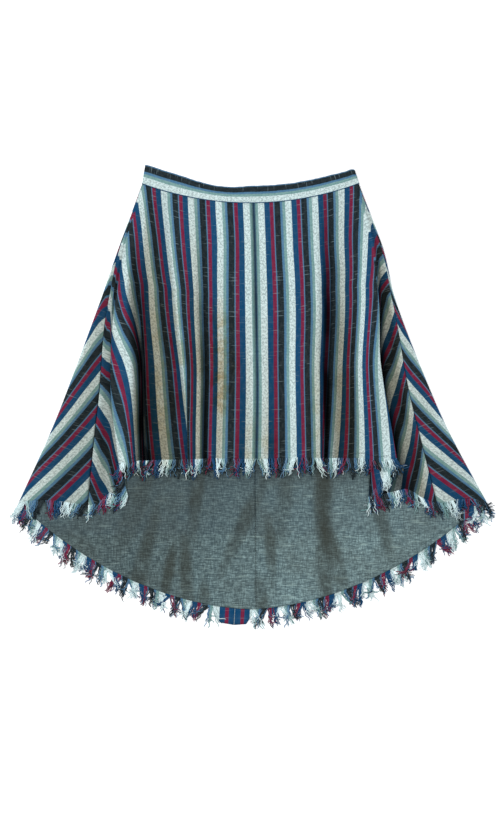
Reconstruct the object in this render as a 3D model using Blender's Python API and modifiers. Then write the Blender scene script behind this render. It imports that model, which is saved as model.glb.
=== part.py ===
"""A flared high-low skirt of striped cotton, laid flat on its back.

Flat, the skirt is a sector of a cone: a point of it lies at an angle about the cone's apex and at a length
below the waist seam. +X is the wearer's left side as it lies, +Y is towards the waist, +Z is up, and the
skirt rests on z = 0. Each panel is one wall of cloth that follows its folds from layer to layer.
"""

import math

import bmesh
import bpy
import numpy as np

MM = 0.001
WAIST_RADIUS = 0.550  # apex to waist seam
APEX_Y = 0.894  # apex above the middle of the laid skirt
BAND_HEIGHT = 0.030
WALL = 0.0012  # striped cloth with its seam allowances
BAND_WALL = 0.0020  # waistband, folded double
LINING_WALL = 0.0010
GAP = 0.0003  # between pieces that are sewn together
FRINGE_REACH = 0.034
LINING_HEIGHT = 0.0020  # middle of the lining's wall
LINING_SHORT = 0.006  # lining hem above the cloth's
BACK_LENGTH = 0.716  # waist seam to hem at the centre back
BACK_RISE = 0.112  # how much shorter it is at the side folds
BACK_RISE_ANGLE = 20.7
BACK_RISE_POWER = 1.6
LINING_SEAM_ANGLE = 0.5
FRINGE_WALL = 0.0010
FRINGE_GAP = 0.0050  # between the hem and the solid of its fringe
BAND_LEFT, BAND_RIGHT = 20.0, 20.25  # side folds of the waistband at its seam, in degrees
LEAN_LEFT, LEAN_RIGHT = 0.034, 0.004  # how much further out its top edge reaches
BAND_FRONT_HEIGHT, BAND_BACK_HEIGHT = 4.8, 1.0  # middles of its walls, in mm
BAND_CORNER = 0.9  # degrees over which its top corners round off
BAND_ROUNDING = 0.12
CLOTH_ROWS, FRINGE_ROWS, LINING_ROWS, BAND_ROWS = 15, 3, 7, 4
FRONT_STEPS, BACK_STEPS = 3, 3  # columns of faces between two lines
LINING_COLUMNS, BAND_COLUMNS, BAND_TURN_POINTS = 8, 25, 8
STATIONS = (0.0, 0.18, 0.36, 0.66, 1.0)  # waist, high hip, hip, thigh and hem, as shares of a line's length

STRIPE_BLUE = (0.10, 0.20, 0.36)
BAND_WHITE = (0.62, 0.68, 0.64)
LINING_GREY = (0.20, 0.27, 0.27)
YARN_CREAM = (0.55, 0.60, 0.56)


def back_length(angle):
    """Waist seam to hem of the layer that lies on the ground, at an angle in degrees."""
    share = min(abs(angle) / BACK_RISE_ANGLE, 1.0)
    return BACK_LENGTH - BACK_RISE * share**BACK_RISE_POWER


# Lines of the cloth that run from waist to hem. Each has its angle outward from the middle in degrees and the
# height of the middle of its wall in mm, at the five stations, then its length in metres.
FRONT_LEFT = (
    ((-0.6, -0.6, -0.6, -0.6, -0.6), (4.8, 4.9, 5.0, 5.0, 5.0), 0.448),  # centre-front seam
    ((5.7, 5.0, 4.4, 3.5, 3.2), (4.8, 5.4, 6.0, 7.0, 6.5), 0.449),
    ((9.7, 8.4, 7.3, 5.8, 4.9), (4.8, 4.9, 5.0, 4.6, 4.4), 0.452),  # soft trough
    ((13.8, 11.6, 9.8, 7.5, 6.2), (4.8, 5.9, 7.0, 9.0, 10.5), 0.4545),  # crest that leans over
    ((15.4, 12.9, 10.7, 8.0, 5.75), (4.8, 5.4, 6.0, 6.8, 7.0), 0.455),
    ((16.8, 14.0, 11.6, 8.7, 6.5), (4.8, 5.2, 5.5, 6.0, 4.6), 0.456),
    ((18.4, 15.6, 13.3, 10.7, 8.2), (5.0, 6.7, 8.0, 9.0, 9.0), 0.460),
    ((18.9, 16.8, 14.7, 12.3, 9.8), (5.0, 7.2, 9.0, 8.0, 12.0), 0.465),  # brink of the deep valley
    ((19.2, 17.6, 15.7, 12.9, 10.4), (5.1, 6.3, 7.0, 4.2, 4.2), 0.468),
    ((19.45, 18.3, 16.7, 13.7, 10.95), (5.2, 6.7, 8.0, 10.0, 14.0), 0.470),
    ((19.6, 19.0, 17.8, 14.7, 12.0), (5.2, 6.6, 8.0, 12.0, 16.0), 0.479),  # top of the flute
    ((19.7, 19.45, 18.45, 16.3, 12.85), (5.0, 6.3, 7.5, 9.5, 12.0), 0.479),  # flute's fold edge
    ((19.78, 19.6, 18.6, 15.0, 11.35), (4.9, 6.0, 6.8, 7.2, 7.6), 0.535),  # tucked in under it
    ((19.84, 19.72, 18.75, 15.35, 12.95), (4.8, 5.7, 6.2, 4.8, 4.6), 0.535),
    ((19.9, 19.84, 18.85, 16.0, 13.9), (4.6, 5.5, 6.0, 5.2, 5.5), 0.558),
    ((19.94, 19.95, 19.0, 16.6, 14.7), (4.2, 5.2, 5.8, 6.0, 5.5), 0.566),  # side seam
)
FRONT_RIGHT = (
    ((0.6, 0.6, 0.6, 0.6, 0.6), (4.8, 4.9, 5.0, 5.0, 5.0), 0.448),
    ((6.6, 6.1, 5.6, 4.8, 4.3), (4.8, 5.5, 6.0, 6.5, 6.0), 0.449),
    ((11.4, 10.3, 9.3, 7.9, 7.0), (4.8, 5.9, 7.0, 9.0, 10.0), 0.454),  # brink of the valley
    ((12.9, 11.5, 10.3, 8.6, 7.4), (4.8, 4.9, 5.0, 4.4, 4.3), 0.455),
    ((15.4, 13.6, 12.0, 9.9, 8.2), (4.8, 6.0, 7.0, 8.0, 9.0), 0.457),
    ((18.6, 16.7, 15.0, 12.7, 11.1), (5.0, 6.7, 8.0, 9.0, 11.0), 0.466),
    ((19.3, 17.9, 16.6, 14.3, 13.0), (5.0, 6.9, 8.5, 10.5, 14.0), 0.479),  # top of the flute
    ((19.6, 18.9, 17.8, 15.3, 14.4), (5.0, 6.6, 8.0, 9.5, 11.5), 0.479),  # flute's fold edge
    ((19.75, 19.3, 17.4, 13.7, 11.0), (4.95, 5.9, 6.6, 7.2, 7.6), 0.535),
    ((19.85, 19.6, 17.75, 15.1, 14.3), (4.9, 5.4, 5.2, 4.8, 4.6), 0.535),
    ((20.0, 19.88, 18.4, 16.3, 15.8), (4.75, 5.2, 5.6, 5.2, 5.5), 0.558),
    ((20.12, 20.12, 19.1, 17.5, 16.9), (4.3, 4.6, 4.8, 6.0, 5.5), 0.575),  # side seam
)
SIDE_LEFT = (  # the back panel's stretch that is folded over to the front
    ((19.94, 19.95, 19.0, 16.6, 14.7), (4.2, 5.2, 5.8, 6.0, 5.5), 0.566),
    ((19.98, 20.0, 19.5, 18.3, 17.6), (3.7, 4.9, 6.0, 7.0, 6.0), 0.574),
    ((20.0, 20.04, 19.75, 19.75, 20.25), (3.2, 4.3, 5.2, 6.0, 5.0), 0.594),
    ((20.0, 20.05, 19.92, 20.0, 20.65), (2.7, 3.0, 3.2, 3.4, 3.0), 0.604),  # side fold
    ((19.9, 19.95, 19.75, 19.8, 20.45), (1.2, 1.2, 1.2, 1.2, 1.2), 0.606),
    ((19.7, 19.7, 19.45, 19.4, 20.1), (0.6, 0.6, 0.6, 0.6, 0.6), back_length(20.3)),
)
SIDE_RIGHT = (
    ((20.12, 20.12, 19.1, 17.5, 16.9), (4.3, 4.6, 4.8, 6.0, 5.5), 0.575),
    ((20.17, 20.22, 19.24, 18.6, 19.0), (3.8, 4.1, 4.3, 6.5, 6.0), 0.580),
    ((20.2, 20.28, 19.35, 19.5, 20.7), (3.2, 3.6, 3.8, 5.5, 5.0), 0.594),
    ((20.2, 20.3, 19.42, 19.8, 21.1), (2.7, 2.8, 2.9, 3.2, 3.0), 0.604),
    ((20.1, 20.18, 19.27, 19.6, 20.9), (1.2, 1.2, 1.2, 1.2, 1.2), 0.606),
    ((19.9, 19.9, 19.0, 19.2, 20.4), (0.6, 0.6, 0.6, 0.6, 0.6), back_length(20.4)),
)
CENTRE_BACK_DRIFT = (0.0, 0.2, 0.4, 0.8, 1.25)  # the centre-back seam wanders to the left, in degrees
BOTTOM_ANGLES = (15.0, 10.0, 5.0)


def back_lines(side_lines, side):
    """The folded-over stretch, then the layer on the ground in to the centre-back seam."""
    ground = [((a,) * 5, (0.6,) * 5, back_length(a)) for a in BOTTOM_ANGLES]
    drift = tuple(-side * a for a in CENTRE_BACK_DRIFT)
    return (*side_lines, *ground, (drift, (0.6,) * 5, BACK_LENGTH))


def slopes(values):
    """Monotone cubic slopes for evenly numbered values along the first axis, so no fold overshoots."""
    step = np.diff(values, axis=0)
    same_way = step[:-1] * step[1:] > 0
    inner = np.zeros_like(values[1:-1])
    harmonic = 2 * step[:-1] * step[1:] / np.where(same_way, step[:-1] + step[1:], 1)
    inner[same_way] = harmonic[same_way]
    return np.concatenate([step[:1], inner, step[-1:]])


def along(values, where):
    """The smooth curve through evenly numbered values, at one or more places between them."""
    values = np.asarray(values, float)
    slope = slopes(values)
    index = np.clip(np.floor(where).astype(int), 0, len(values) - 2)
    part = (where - index).reshape(-1, *[1] * (values.ndim - 1))
    start, end = values[index], values[index + 1]
    return (
        start * (1 + 2 * part) * (1 - part) ** 2
        + slope[index] * part * (1 - part) ** 2
        + end * part**2 * (3 - 2 * part)
        - slope[index + 1] * part**2 * (1 - part)
    )


def place(side, angle, radius, height):
    """Laid points from angles in degrees, radii about the apex and heights."""
    turn = np.radians(side * angle)
    return np.stack([radius * np.sin(turn), APEX_Y - radius * np.cos(turn), height], axis=-1)


class Panel:
    """A wall of cloth through its lines, on one side: -1 is left, 1 is right."""

    def __init__(self, lines, side):
        self.side = side
        self.last = len(lines) - 1
        self.angles = np.array([line[0] for line in lines]).T
        self.heights = np.array([line[1] for line in lines]).T * MM
        self.lengths = np.array([line[2] for line in lines])

    def row(self, share, past, where):
        """Points across the panel at a share of its length, or past its hem."""
        station = np.interp([share], STATIONS, range(len(STATIONS)))
        angle = along(along(self.angles, station)[0], where)
        height = along(along(self.heights, station)[0], where)
        length = along(self.lengths, where)
        radius = WAIST_RADIUS + GAP / 2 + share * (length - GAP / 2) + past
        return place(self.side, angle, radius, height)

    def grid(self, rows, steps):
        """Rows of points, each row's ends half a gap back from the seams they are sewn in."""
        points = []
        for share, past in rows:
            near = self.row(share, past, np.array([0.0, 0.01, self.last - 0.01, self.last]))
            first = 0.01 * GAP / 2 / np.linalg.norm(near[1] - near[0])
            final = self.last - 0.01 * GAP / 2 / np.linalg.norm(near[3] - near[2])
            where = np.linspace(0, self.last, steps * self.last + 1)
            points.append(self.row(share, past, np.clip(where, first, final)))
        return points


def material(name, colour, roughness):
    made = bpy.data.materials.new(name)
    made.use_nodes = True
    shader = made.node_tree.nodes["Principled BSDF"]
    shader.inputs["Base Color"].default_value = (*colour, 1.0)
    shader.inputs["Roughness"].default_value = roughness
    shader.inputs["Metallic"].default_value = 0.0
    return made


def wall(name, rows, thickness, finish):
    """One closed wall through rows of points: a grid moved to them and given its thickness."""
    across, down = len(rows[0]), len(rows)
    shape = bmesh.new()
    bmesh.ops.create_grid(shape, x_segments=across - 1, y_segments=down - 1, size=0.5)
    for corner in shape.verts:
        column = round((corner.co.x + 0.5) * (across - 1))
        line = round((0.5 - corner.co.y) * (down - 1))
        corner.co = rows[line][column]
    bmesh.ops.triangulate(shape, faces=shape.faces)
    mesh = bpy.data.meshes.new(name)
    shape.to_mesh(mesh)
    shape.free()
    mesh.materials.append(finish)
    mesh.shade_smooth()
    made = bpy.data.objects.new(name, mesh)
    thicken = made.modifiers.new("Wall", "SOLIDIFY")
    thicken.thickness = thickness
    thicken.offset = 0.0
    skirt.objects.link(made)


def cloth_rows():
    return [(share, 0.0) for share in np.linspace(0, 1, CLOTH_ROWS)]


def fringe_rows():
    return [(1.0, past) for past in np.linspace(FRINGE_GAP, FRINGE_REACH, FRINGE_ROWS)]


def make_outer(name, lines, side, steps):
    panel = Panel(lines, side)
    hand = "left" if side < 0 else "right"
    wall(f"{name}_{hand}", panel.grid(cloth_rows(), steps), WALL, striped)
    wall(f"fringe_{name}_{hand}", panel.grid(fringe_rows(), steps), FRINGE_WALL, yarn)


def make_lining(side, reach):
    """The back lining lies on the back panel, from the centre seam to inside the side fold."""
    hand = "left" if side < 0 else "right"
    rows = []
    for share in np.linspace(0, 1, LINING_ROWS):
        seam = side * LINING_SEAM_ANGLE + math.degrees(GAP / 2 / WAIST_RADIUS)
        angle = np.linspace(seam, reach, LINING_COLUMNS)
        length = np.array([back_length(a) for a in angle]) - LINING_SHORT
        radius = WAIST_RADIUS + GAP / 2 + share * (length - GAP / 2)
        rows.append(place(side, angle, radius, np.full(LINING_COLUMNS, LINING_HEIGHT)))
    wall(f"lining_{hand}", rows, LINING_WALL, lining)


def make_band(name, profile):
    """A half of the waistband, from profile points of angle and height, rounded at its top corners."""
    angle, height = (np.array(values) for values in zip(*profile))
    sides = np.where(angle < 0, BAND_LEFT, BAND_RIGHT)
    lean = np.where(angle < 0, LEAN_LEFT, LEAN_RIGHT)
    edge = np.clip((np.abs(angle) - sides + BAND_CORNER) / BAND_CORNER, 0, 1)
    rows = []
    for share in np.linspace(0, 1, BAND_ROWS):
        top = WAIST_RADIUS - BAND_HEIGHT * (1 - BAND_ROUNDING * edge**2)
        radius = top + share * (WAIST_RADIUS - GAP / 2 - top)
        rows.append(place(1, angle * (1 + lean * (1 - share)), radius, height * MM))
    wall(name, rows, BAND_WALL, band)


def band_profile(top):
    """Across the band from side fold to side fold: flat, with a quarter turn at each end."""
    middle, turn = (BAND_FRONT_HEIGHT + BAND_BACK_HEIGHT) / 2, (BAND_FRONT_HEIGHT - BAND_BACK_HEIGHT) / 2
    lift = 1 if top else -1
    reach = math.degrees(turn * MM / WAIST_RADIUS)
    gap = math.asin(GAP * 1.1 / MM / turn)
    curve = [gap + (math.pi / 2 - gap) * part for part in np.linspace(0, 1, BAND_TURN_POINTS)]
    left = [(-BAND_LEFT - reach * (math.cos(a) - 1), middle + lift * turn * math.sin(a)) for a in curve]
    right = [(BAND_RIGHT + reach * (math.cos(a) - 1), middle + lift * turn * math.sin(a)) for a in curve]
    flat = np.linspace(left[-1][0], right[-1][0], BAND_COLUMNS)[1:-1]
    return [*left, *((a, middle + lift * turn) for a in flat), *right[::-1]]


for leftover in list(bpy.data.objects):
    bpy.data.objects.remove(leftover, do_unlink=True)

skirt = bpy.data.collections.new("high_low_skirt")
bpy.context.scene.collection.children.link(skirt)
striped = material("striped_cotton", STRIPE_BLUE, 0.85)
band = material("waistband_cotton", BAND_WHITE, 0.85)
lining = material("lining_cotton", LINING_GREY, 0.85)
yarn = material("fringe_yarn", YARN_CREAM, 0.9)

make_band("waistband_front", band_profile(True))
make_band("waistband_back", band_profile(False))
make_outer("front", FRONT_LEFT, -1, FRONT_STEPS)
make_outer("front", FRONT_RIGHT, 1, FRONT_STEPS)
make_outer("back", back_lines(SIDE_LEFT, -1), -1, BACK_STEPS)
make_outer("back", back_lines(SIDE_RIGHT, 1), 1, BACK_STEPS)
make_lining(-1, 18.9)
make_lining(1, 18.3)
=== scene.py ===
import math
import bmesh
import bpy
import numpy as np
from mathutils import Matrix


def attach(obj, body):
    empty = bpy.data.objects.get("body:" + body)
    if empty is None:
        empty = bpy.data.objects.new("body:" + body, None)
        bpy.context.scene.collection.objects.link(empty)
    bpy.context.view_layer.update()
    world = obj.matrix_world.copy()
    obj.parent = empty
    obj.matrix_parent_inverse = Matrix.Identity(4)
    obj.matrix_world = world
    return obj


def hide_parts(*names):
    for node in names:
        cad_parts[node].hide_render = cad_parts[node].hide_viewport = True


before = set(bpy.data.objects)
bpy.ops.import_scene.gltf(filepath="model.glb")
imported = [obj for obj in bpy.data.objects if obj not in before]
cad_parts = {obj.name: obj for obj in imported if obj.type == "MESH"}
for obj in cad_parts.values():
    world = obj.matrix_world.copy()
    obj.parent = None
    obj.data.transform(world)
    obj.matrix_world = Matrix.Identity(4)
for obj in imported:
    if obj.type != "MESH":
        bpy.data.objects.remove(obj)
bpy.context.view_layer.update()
print("frame loaded")

# The skirt lies flat as a sector of a cone. A point of it has an angle about the cone's apex, in degrees
# outward from the middle, and a length below the waist seam.
mm = 0.001
cut = {
    "waistRadius": 0.550,
    "apexY": 0.894,
    "bandHeight": 0.030,
    "gap": 0.0003,
    "cloth": 0.0009,  # wall of the striped cloth
    "bandCloth": 0.0018,
    "liningCloth": 0.0007,
    "repeat": 0.0495,  # one repeat of the stripes
    "backLength": 0.716,
    "backRise": 0.112,
    "backRiseAngle": 20.7,
    "backRisePower": 1.6,
    "stations": (0.0, 0.18, 0.36, 0.66, 1.0),  # waist, high hip, hip, thigh, hem
    "centreBackDrift": (0.0, 0.2, 0.4, 0.8, 1.25),
    "backPhase": 0.92,  # where the stripes meet at the centre back
}


def backLength(angle):
    share = min(abs(angle) / cut["backRiseAngle"], 1.0)
    return cut["backLength"] - cut["backRise"] * share ** cut["backRisePower"]


# Lines of the cloth from waist to hem: angles in degrees, heights of the wall's middle in mm and stripe
# repeats outward from the seam, each at the five stations, then the line's length.
frontLeftLines = (
    ((-0.66, -0.82, -0.86, -0.88, -0.66), (4.8, 4.9, 5.0, 5.0, 5.0), (0.0, 0.0, 0.0, 0.0, 0.0), 0.448),
    ((5.7, 5.0, 4.4, 3.5, 3.2), (4.8, 5.4, 6.0, 7.0, 6.5), (1.26, 1.34, 1.33, 1.28, 1.3), 0.449),
    ((9.7, 8.4, 7.3, 5.8, 4.9), (4.8, 4.9, 5.0, 4.6, 4.4), (2.05, 2.12, 2.19, 2.16, 2.08), 0.452),
    ((13.8, 11.6, 9.8, 7.5, 6.2), (4.8, 5.9, 7.0, 9.0, 10.5), (2.86, 2.89, 2.99, 2.98, 2.97), 0.4545),
    ((15.4, 12.9, 10.7, 8.0, 5.75), (4.8, 5.4, 6.0, 6.8, 7.0), (3.18, 3.23, 3.28, 3.25, 3.28), 0.455),
    ((16.8, 14.0, 11.6, 8.7, 6.5), (4.8, 5.2, 5.5, 6.0, 4.6), (3.45, 3.51, 3.56, 3.58, 3.62), 0.456),
    ((18.4, 15.6, 13.3, 10.7, 8.2), (5.0, 6.7, 8.0, 9.0, 9.0), (3.77, 3.94, 4.08, 4.24, 4.22), 0.460),
    ((18.9, 16.8, 14.7, 12.25, 9.7), (5.0, 7.2, 9.0, 8.5, 12.0), (3.87, 4.26, 4.5, 4.72, 4.72), 0.465),
    ((19.2, 17.6, 15.7, 12.6, 10.3), (5.1, 6.3, 7.0, 4.2, 4.2), (3.93, 4.48, 4.8, 5.3, 5.3), 0.468),
    ((19.45, 18.3, 16.7, 13.15, 10.95), (5.2, 6.7, 8.0, 9.0, 13.0), (3.97, 4.66, 5.1, 5.95, 6.1), 0.470),
    ((19.6, 19.0, 17.8, 14.7, 12.0), (5.2, 6.6, 8.0, 12.0, 16.0), (4.0, 4.85, 5.43, 6.43, 7.1), 0.479),
    ((19.7, 19.45, 18.45, 16.3, 12.85), (5.0, 6.3, 7.5, 9.5, 12.0), (4.02, 4.97, 5.66, 6.83, 7.42), 0.479),
    ((19.78, 19.6, 18.6, 15.0, 11.35), (4.9, 6.0, 6.8, 7.2, 7.6), (4.04, 5.0, 5.92, 7.1, 8.35), 0.535),
    ((19.84, 19.72, 18.75, 15.35, 12.95), (4.8, 5.7, 6.2, 4.8, 4.6), (4.05, 5.04, 6.03, 7.7, 9.3), 0.535),
    ((19.9, 19.84, 18.85, 16.0, 13.9), (4.6, 5.5, 6.0, 5.2, 5.5), (4.06, 5.07, 6.14, 8.05, 9.85), 0.558),
    ((19.94, 19.95, 19.0, 16.6, 14.7), (4.2, 5.2, 5.8, 6.0, 5.5), (4.07, 5.1, 6.25, 8.2, 10.24), 0.566),
)
frontRightLines = (
    ((0.66, 0.82, 0.86, 0.88, 0.66), (4.8, 4.9, 5.0, 5.0, 5.0), (0.0, 0.0, 0.0, 0.0, 0.0), 0.448),
    ((6.6, 6.1, 5.6, 4.8, 4.3), (4.8, 5.5, 6.0, 6.5, 6.0), (1.2, 1.21, 1.18, 1.2, 1.24), 0.449),
    ((11.4, 10.3, 9.3, 7.9, 7.0), (4.8, 5.9, 7.0, 9.0, 10.0), (2.18, 2.2, 2.18, 2.26, 2.37), 0.454),
    ((12.9, 11.5, 10.3, 8.6, 7.4), (4.8, 4.9, 5.0, 4.4, 4.3), (2.48, 2.49, 2.45, 2.52, 2.78), 0.455),
    ((15.4, 13.6, 12.0, 9.9, 8.2), (4.8, 6.0, 7.0, 8.0, 9.0), (2.98, 3.01, 2.95, 2.99, 3.17), 0.457),
    ((18.6, 16.7, 15.0, 12.7, 11.1), (5.0, 6.7, 8.0, 9.0, 11.0), (3.61, 3.81, 3.93, 4.16, 4.27), 0.466),
    ((19.3, 17.9, 16.6, 14.3, 13.0), (5.0, 6.9, 8.5, 10.5, 14.0), (3.75, 4.11, 4.53, 4.95, 5.12), 0.479),
    ((19.6, 18.9, 17.8, 15.3, 14.4), (5.0, 6.6, 8.0, 9.5, 11.5), (3.8, 4.37, 4.95, 5.38, 5.72), 0.479),
    ((19.75, 19.3, 17.4, 13.7, 11.0), (4.95, 5.9, 6.6, 7.2, 7.6), (3.83, 4.47, 5.25, 6.2, 7.1), 0.535),
    ((19.85, 19.6, 17.75, 15.1, 14.3), (4.9, 5.4, 5.2, 4.8, 4.6), (3.85, 4.54, 5.6, 7.0, 8.5), 0.535),
    ((20.0, 19.88, 18.4, 16.3, 15.8), (4.75, 5.2, 5.6, 5.2, 5.5), (3.88, 4.61, 5.92, 7.5, 9.35), 0.558),
    ((20.12, 20.12, 19.1, 17.5, 16.9), (4.3, 4.6, 4.8, 6.0, 5.5), (3.91, 4.67, 6.15, 8.1, 9.95), 0.575),
)
sideLeftLines = (
    ((19.94, 19.95, 19.0, 16.6, 14.7), (4.2, 5.2, 5.8, 6.0, 5.5), (4.0, 5.1, 6.2, 8.03, 10.1), 0.566),
    ((19.98, 20.0, 19.5, 18.3, 17.6), (3.7, 4.9, 6.0, 7.0, 6.0), (4.0, 5.1, 6.17, 7.55, 9.35), 0.574),
    ((20.0, 20.04, 19.75, 19.75, 20.25), (3.2, 4.3, 5.2, 6.0, 5.0), (4.0, 5.09, 6.13, 7.12, 8.7), 0.594),
    ((20.0, 20.05, 19.92, 20.0, 20.65), (2.7, 3.0, 3.2, 3.4, 3.0), (3.99, 5.08, 6.1, 7.04, 8.58), 0.604),
    ((19.9, 19.95, 19.75, 19.8, 20.45), (1.2, 1.2, 1.2, 1.2, 1.2), (3.97, 5.05, 6.05, 6.98, 8.52), 0.606),
    ((19.7, 19.7, 19.45, 19.4, 20.1), (0.6, 0.6, 0.6, 0.6, 0.6), (3.93, 5.0, 5.95, 6.85, 8.4),
     backLength(20.3)),
)
sideRightLines = (
    ((20.12, 20.12, 19.1, 17.5, 16.9), (4.3, 4.6, 4.8, 6.0, 5.5), (4.0, 5.07, 6.14, 7.9, 9.95), 0.575),
    ((20.17, 20.22, 19.24, 18.6, 19.0), (3.8, 4.1, 4.3, 6.5, 6.0), (4.0, 5.06, 6.05, 7.55, 9.45), 0.580),
    ((20.2, 20.28, 19.35, 19.5, 20.7), (3.2, 3.6, 3.8, 5.5, 5.0), (3.99, 5.04, 5.98, 7.3, 9.05), 0.594),
    ((20.2, 20.3, 19.42, 19.8, 21.1), (2.7, 2.8, 2.9, 3.2, 3.0), (3.98, 5.02, 5.9, 7.2, 8.95), 0.604),
    ((20.1, 20.18, 19.27, 19.6, 20.9), (1.2, 1.2, 1.2, 1.2, 1.2), (3.95, 4.98, 5.86, 7.15, 8.9), 0.606),
    ((19.9, 19.9, 19.0, 19.2, 20.4), (0.6, 0.6, 0.6, 0.6, 0.6), (3.9, 4.9, 5.75, 7.05, 8.75),
     backLength(20.4)),
)
groundLines = {  # angle of each line of the layer below: its stripe repeats on the left and on the right
    15.0: ((3.04, 3.52, 4.0, 4.9, 6.1), (3.04, 3.65, 4.26, 5.47, 6.87)),
    10.0: ((2.03, 2.33, 2.63, 3.18, 3.95), (2.03, 2.46, 2.88, 3.74, 4.88)),
    5.0: ((1.01, 1.13, 1.25, 1.45, 1.7), (1.01, 1.26, 1.5, 2.0, 2.76)),
}


def backLines(sideLines, side):
    ground = [
        ((angle,) * 5, (0.6,) * 5, repeats[0 if side < 0 else 1], backLength(angle))
        for angle, repeats in groundLines.items()
    ]
    drift = tuple(-side * angle for angle in cut["centreBackDrift"])
    return (*sideLines, *ground, (drift, (0.6,) * 5, (0.0,) * 5, cut["backLength"]))


def slopes(values):
    # monotone cubic slopes, so that no fold overshoots
    step = np.diff(values, axis=0)
    sameWay = step[:-1] * step[1:] > 0
    inner = np.zeros_like(values[1:-1])
    harmonic = 2 * step[:-1] * step[1:] / np.where(sameWay, step[:-1] + step[1:], 1)
    inner[sameWay] = harmonic[sameWay]
    return np.concatenate([step[:1], inner, step[-1:]])


def along(values, where):
    values = np.asarray(values, float)
    slope = slopes(values)
    index = np.clip(np.floor(where).astype(int), 0, len(values) - 2)
    part = (where - index).reshape(-1, *[1] * (values.ndim - 1))
    return (
        values[index] * (1 + 2 * part) * (1 - part) ** 2
        + slope[index] * part * (1 - part) ** 2
        + values[index + 1] * part**2 * (3 - 2 * part)
        - slope[index + 1] * part**2 * (1 - part)
    )


def place(side, angle, radius, height):
    turn = np.radians(side * angle)
    return np.stack([radius * np.sin(turn), cut["apexY"] - radius * np.cos(turn), height], axis=-1)


def smooth(value, start, end):
    part = np.clip((np.asarray(value, float) - start) / (end - start), 0, 1)
    return part * part * (3 - 2 * part)


def lattice(x, y, seed):
    # smooth seeded noise from -1 to 1, one cell a unit
    table = np.random.default_rng(seed).uniform(-1, 1, (64, 64))
    x, y = np.asarray(x, float) + 640, np.asarray(y, float) + 640
    column, row = np.floor(x).astype(int), np.floor(y).astype(int)
    fx = smooth(x - column, 0, 1)
    fy = smooth(y - row, 0, 1)

    def pick(i, j):
        return table[(row + j) % 64, (column + i) % 64]

    low = pick(0, 0) * (1 - fx) + pick(1, 0) * fx
    high = pick(0, 1) * (1 - fx) + pick(1, 1) * fx
    return low * (1 - fy) + high * fy


class Panel:
    # one side of the cloth: -1 is left, 1 is right
    def __init__(self, lines, side):
        self.side = side
        self.last = len(lines) - 1
        self.angles = np.array([line[0] for line in lines]).T
        self.heights = np.array([line[1] for line in lines]).T * mm
        self.repeats = np.array([line[2] for line in lines]).T
        self.lengths = np.array([line[3] for line in lines])
        self.relief = lambda where, share, repeat: 0.0
        self.extra = lambda where, angle: 0.0

    def row(self, share, past, where):
        # points of one row, with their stripe repeats, lengths below the waist and angles
        station = np.interp([share], cut["stations"], range(5))
        angle = along(along(self.angles, station)[0], where)
        height = along(along(self.heights, station)[0], where)
        repeat = along(along(self.repeats, station)[0], where)
        length = along(self.lengths, where) + self.extra(where, angle)
        height = height + self.relief(where, share, repeat)
        down = cut["gap"] / 2 + share * (length - cut["gap"] / 2) + past
        return place(self.side, angle, cut["waistRadius"] + down, height), repeat, down, angle

    def grid(self, shares, spots):
        # rows of points at these shares of the length; both edges stop half a gap short of the seam
        points, repeats, downs = [], [], []
        for share in shares:
            near = self.row(share, 0.0, np.array([0.0, 0.01, self.last - 0.01, self.last]))[0]
            first = 0.01 * cut["gap"] / 2 / np.linalg.norm(near[1] - near[0])
            final = self.last - 0.01 * cut["gap"] / 2 / np.linalg.norm(near[3] - near[2])
            point, repeat, down, _ = self.row(share, 0.0, np.clip(spots, first, final))
            points.append(point)
            repeats.append(repeat)
            downs.append(down)
        return np.array(points), np.array(repeats), np.array(downs)


# Materials

class Maths:
    # a value in a material, with the sums that the materials use
    def __init__(self, maker, socket):
        self.maker, self.socket = maker, socket

    def sum(self, operation, *values):
        return self.maker.node("ShaderNodeMath", {"operation": operation}, dict(enumerate(values)))

    def __add__(self, other):
        return self.sum("ADD", self, other)

    def __radd__(self, other):
        return self.sum("ADD", other, self)

    def __sub__(self, other):
        return self.sum("SUBTRACT", self, other)

    def __rsub__(self, other):
        return self.sum("SUBTRACT", other, self)

    def __mul__(self, other):
        return self.sum("MULTIPLY", self, other)

    def __rmul__(self, other):
        return self.sum("MULTIPLY", other, self)

    def __truediv__(self, other):
        return self.sum("DIVIDE", self, other)

    def __rtruediv__(self, other):
        return self.sum("DIVIDE", other, self)

    def sine(self):
        return self.sum("SINE", self)

    def fraction(self):
        return self.sum("FRACT", self)

    def between(self, low, high):
        settings = {"interpolation_type": "SMOOTHSTEP"}
        values = {"Value": self, "From Min": low, "From Max": high}
        return self.maker.node("ShaderNodeMapRange", settings, values)


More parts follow.
